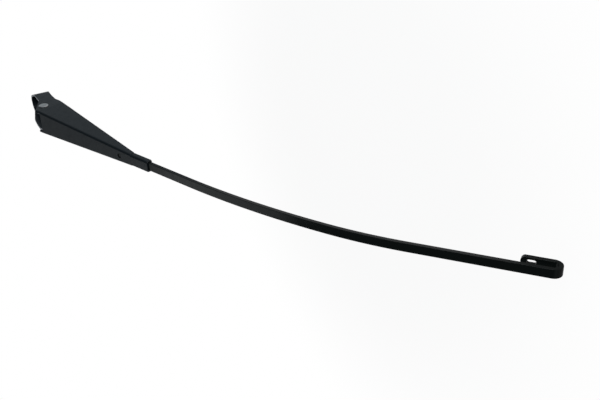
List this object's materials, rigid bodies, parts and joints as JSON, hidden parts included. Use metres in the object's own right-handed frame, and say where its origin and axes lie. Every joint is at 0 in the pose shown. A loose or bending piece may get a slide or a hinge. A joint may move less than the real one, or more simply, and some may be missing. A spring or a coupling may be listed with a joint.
{
  "type": "wiper arm",
  "caption": "Black wiper arm: a tapered channel head that folds up on a hairpin spindle mount, with an inner tension spring, and a curved flat rod ending in a hook.",
  "frame": {"origin": "on the spindle axis, at the nut seat on the upper face of the spindle collet", "axes": "+Z along the spindle axis away from the glass, +X towards the arm, Y parallel to the hinge axis"},
  "size_m": [0.6347, 0.0316, 0.299],
  "materials": {
    "black_coat": "satin black coating over pressed steel",
    "zinc_steel": "bright zinc plating",
    "bare_steel": "oiled plain steel"
  },
  "bodies": {
    "mount": {"mount_bracket": "black_coat", "spindle_collet": "bare_steel", "hinge_bush": "bare_steel", "link_pin": "zinc_steel"},
    "arm": {"head_channel": "black_coat", "arm_rod": "black_coat", "anchor_stud": "zinc_steel", "hinge_pin": "zinc_steel", "washer_upper": "zinc_steel", "washer_lower": "zinc_steel"},
    "link": {"spring_link": "zinc_steel", "tension_spring": "bare_steel"}
  },
  "joints": [
    {"name": "arm_fold", "type": "hinge", "parent": "mount", "child": "arm", "pos_m": [0.0485, 0, 0.007], "axis": [0, -1, 0], "range_deg": [0, 110]},
    {"name": "link_swing", "type": "hinge", "parent": "mount", "child": "link", "pos_m": [0.04587, 0, -0.00108], "axis": [0, -1, 0], "range_deg": [0, 106.9], "deforming": ["tension_spring"]}
  ],
  "couplings": [
    {"joint": "link_swing", "follows": "arm_fold", "ratio": 0.9629}
  ]
}
